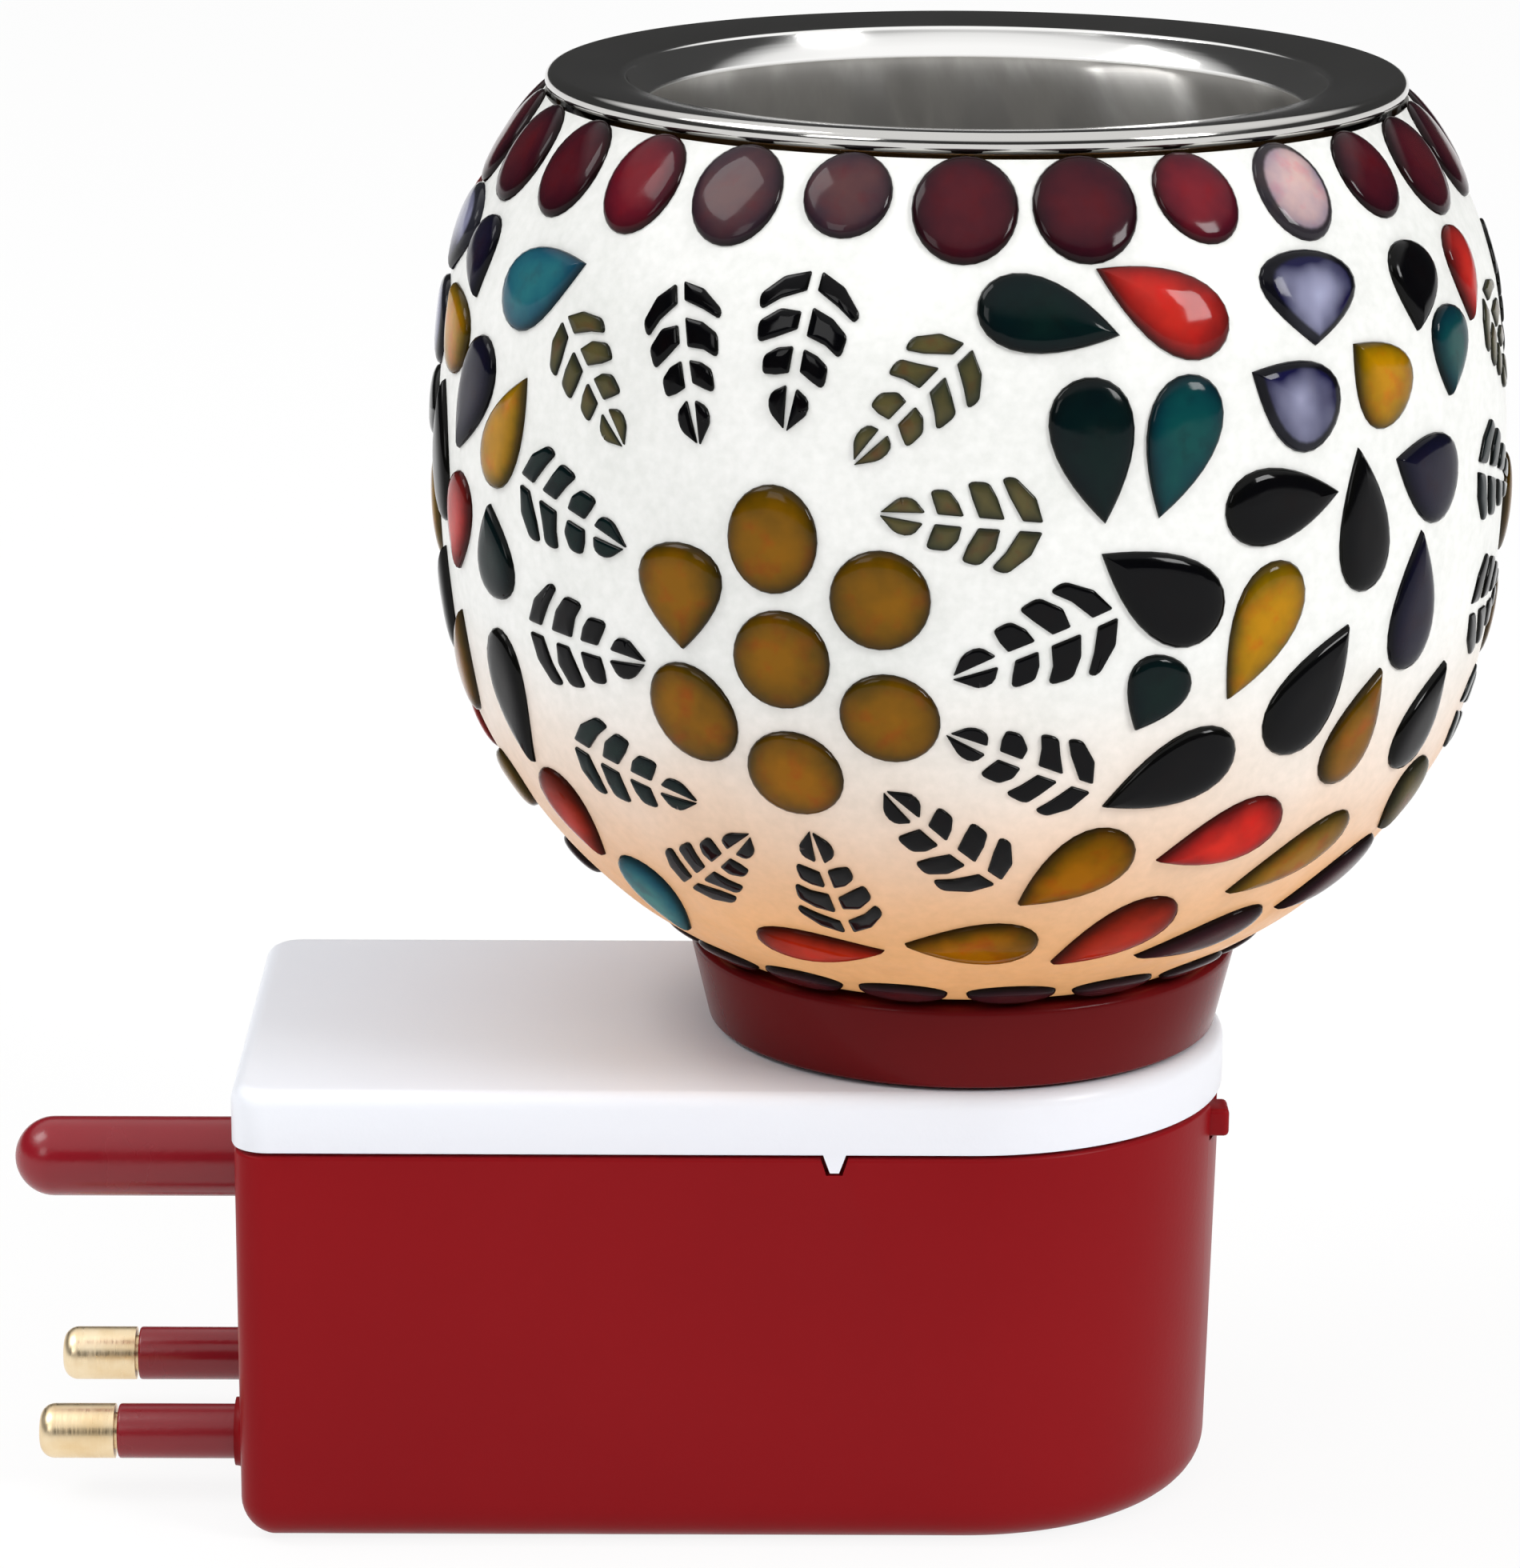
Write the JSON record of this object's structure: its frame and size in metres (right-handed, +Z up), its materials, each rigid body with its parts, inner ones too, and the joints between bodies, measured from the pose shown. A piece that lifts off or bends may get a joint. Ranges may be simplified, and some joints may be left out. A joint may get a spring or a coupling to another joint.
{
  "type": "electric camphor burner",
  "caption": "Plug-in camphor burner: a round-ended plug housing with a slide switch carries a lamp under a mosaic glass globe, which warms a lift-off steel dish.",
  "frame": {"origin": "on the underside of the plug housing, under the axis of the globe", "axes": "+Z up along the globe's axis, -X the way the plug pins point"},
  "size_m": [0.1296, 0.0911, 0.1248],
  "materials": {
    "red_plastic": "glossy moulded",
    "white_plastic": "glossy moulded",
    "maroon_plastic": "glossy moulded",
    "dark_plastic": "moulded",
    "brass": "turned",
    "screw_steel": "zinc plated",
    "cap_metal": "pressed",
    "brown_wire": "wire insulation",
    "blue_wire": "wire insulation",
    "gasket_rubber": "moulded",
    "lamp_glass": "clear",
    "filament": "glowing wire",
    "globe_glass": "blown",
    "mosaic": "white grout with coloured glass tiles",
    "dish_steel": "polished rim, brushed floor"
  },
  "bodies": {
    "base": {"lower_housing": "red_plastic", "top_cover": "white_plastic", "plug_insert": "red_plastic", "line_pin": "brass", "neutral_pin": "brass", "cover_screw_1": "screw_steel", "cover_screw_2": "screw_steel", "cover_screw_3": "screw_steel", "cover_screw_4": "screw_steel", "switch_body": "dark_plastic", "switch_terminal_1": "brass", "switch_terminal_2": "brass", "line_lead": "brown_wire", "switch_lead": "brown_wire", "neutral_lead": "blue_wire", "collar": "maroon_plastic", "globe_gasket": "gasket_rubber", "lamp_holder": "dark_plastic", "lamp_screw_shell": "brass", "lamp_centre_contact": "brass", "holder_terminal_line": "brass", "holder_terminal_neutral": "brass", "holder_terminal_screw_1": "screw_steel", "holder_terminal_screw_2": "screw_steel", "shade_ring": "dark_plastic"},
    "switch": {"switch_thumb": "red_plastic"},
    "bulb": {"bulb_cap": "cap_metal", "bulb_insulator": "dark_plastic", "bulb_tip": "cap_metal", "bulb_envelope": "lamp_glass", "bulb_stem": "lamp_glass", "bulb_filament": "filament"},
    "globe": {"glass_globe": "globe_glass", "mosaic_skin": "mosaic"},
    "dish": {"camphor_dish": "dish_steel"}
  },
  "joints": [
    {"name": "switch_slide", "type": "slide", "parent": "base", "child": "switch", "axis": [0, 1, 0], "range_m": [0, 0.004]},
    {"name": "bulb_turn", "type": "hinge", "parent": "base", "child": "bulb", "pos_m": [0, 0, 0.054], "axis": [0, 0, 1], "continuous": true},
    {"name": "globe_lift", "type": "slide", "parent": "base", "child": "globe", "axis": [0, 0, 1], "range_m": [0, 0.06]},
    {"name": "dish_lift", "type": "slide", "parent": "globe", "child": "dish", "axis": [0, 0, 1], "range_m": [0, 0.04]}
  ]
}
